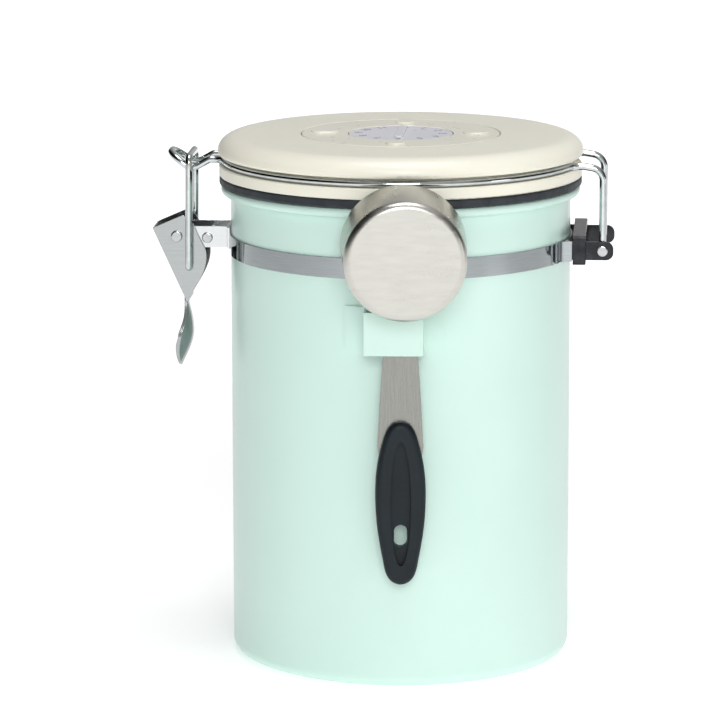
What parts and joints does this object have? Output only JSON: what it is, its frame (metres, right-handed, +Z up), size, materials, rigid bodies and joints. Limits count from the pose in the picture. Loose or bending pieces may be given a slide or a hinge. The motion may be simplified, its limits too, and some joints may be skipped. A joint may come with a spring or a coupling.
{
  "type": "coffee canister",
  "caption": "Painted steel coffee canister with wire-bail clamp lid, rubber gasket, date dial, gas valve, and a steel scoop held in a front clip.",
  "frame": {"origin": "centre of the flat underside", "axes": "+Z up along the can's axis; +X towards the hinge, -X towards the latch; -Y towards the front with the scoop"},
  "size_m": [0.1614, 0.1555, 0.185],
  "materials": {
    "mint_paint": "satin powder coat, pale mint",
    "cream_plastic": "smooth moulded, cream",
    "gasket_rubber": "soft matte seal",
    "wire_chrome": "bright plated wire",
    "band_steel": "bright rolled strip",
    "hinge_black": "dark polished bracket",
    "latch_steel": "bright pressed sheet",
    "rivet_steel": "bright rivet heads",
    "scoop_steel": "brushed stainless",
    "grip_plastic": "dark slate moulded grip",
    "dial_cream": "smooth moulded, cream",
    "dial_white": "smooth moulded, pale",
    "inner_plastic": "plain moulded",
    "valve_rubber": "thin silicone",
    "screw_steel": "plain screws"
  },
  "bodies": {
    "canister": {"canister_body": "mint_paint", "clamp_band": "band_steel", "hinge_bracket": "hinge_black", "band_keeper": "hinge_black", "latch_bracket": "latch_steel", "lever_pin": "rivet_steel", "bracket_rivet": "rivet_steel", "scoop_clip": "mint_paint"},
    "lid": {"lid_cover": "cream_plastic", "lid_base": "inner_plastic", "lid_screws": "screw_steel", "lid_gasket": "gasket_rubber", "bail_wire": "wire_chrome", "bail_end_caps": "rivet_steel", "dial_hub": "inner_plastic", "valve_housing": "inner_plastic", "valve_cap": "inner_plastic"},
    "valve_disc": {"valve_disc": "valve_rubber"},
    "day_ring": {"day_ring": "dial_cream"},
    "month_disc": {"month_disc": "dial_white"},
    "latch_lever": {"latch_lever": "latch_steel"},
    "latch_loop": {"latch_loop": "wire_chrome", "loop_end_caps": "rivet_steel"},
    "scoop": {"scoop_cup": "scoop_steel", "scoop_strip": "scoop_steel", "scoop_grip": "grip_plastic"}
  },
  "joints": [
    {"name": "lid_hinge", "type": "hinge", "parent": "canister", "child": "lid", "pos_m": [0.071, 0, 0.1462], "axis": [0, 1, 0], "range_deg": [0, 110]},
    {"name": "lever_pivot", "type": "hinge", "parent": "canister", "child": "latch_lever", "pos_m": [-0.0781, 0, 0.1482], "axis": [0, 1, 0], "range_deg": [0, 120]},
    {"name": "loop_swing", "type": "hinge", "parent": "latch_lever", "child": "latch_loop", "pos_m": [-0.0737, 0, 0.1373], "axis": [0, 1, 0], "range_deg": [-84.5, 0]},
    {"name": "day_ring_turn", "type": "hinge", "parent": "lid", "child": "day_ring", "pos_m": [0, 0, 0.1843], "axis": [0, 0, 1], "continuous": true},
    {"name": "month_disc_turn", "type": "hinge", "parent": "lid", "child": "month_disc", "pos_m": [0, 0, 0.1843], "axis": [0, 0, 1], "continuous": true},
    {"name": "valve_lift", "type": "slide", "parent": "lid", "child": "valve_disc", "axis": [0, 0, 1], "range_m": [0, 0.0025]},
    {"name": "scoop_lift", "type": "slide", "parent": "canister", "child": "scoop", "axis": [-0.037, -0.003, 0.9993], "range_m": [0, 0.1]}
  ],
  "couplings": [
    {"joint": "loop_swing", "follows": "lever_pivot", "ratio": -0.7}
  ]
}
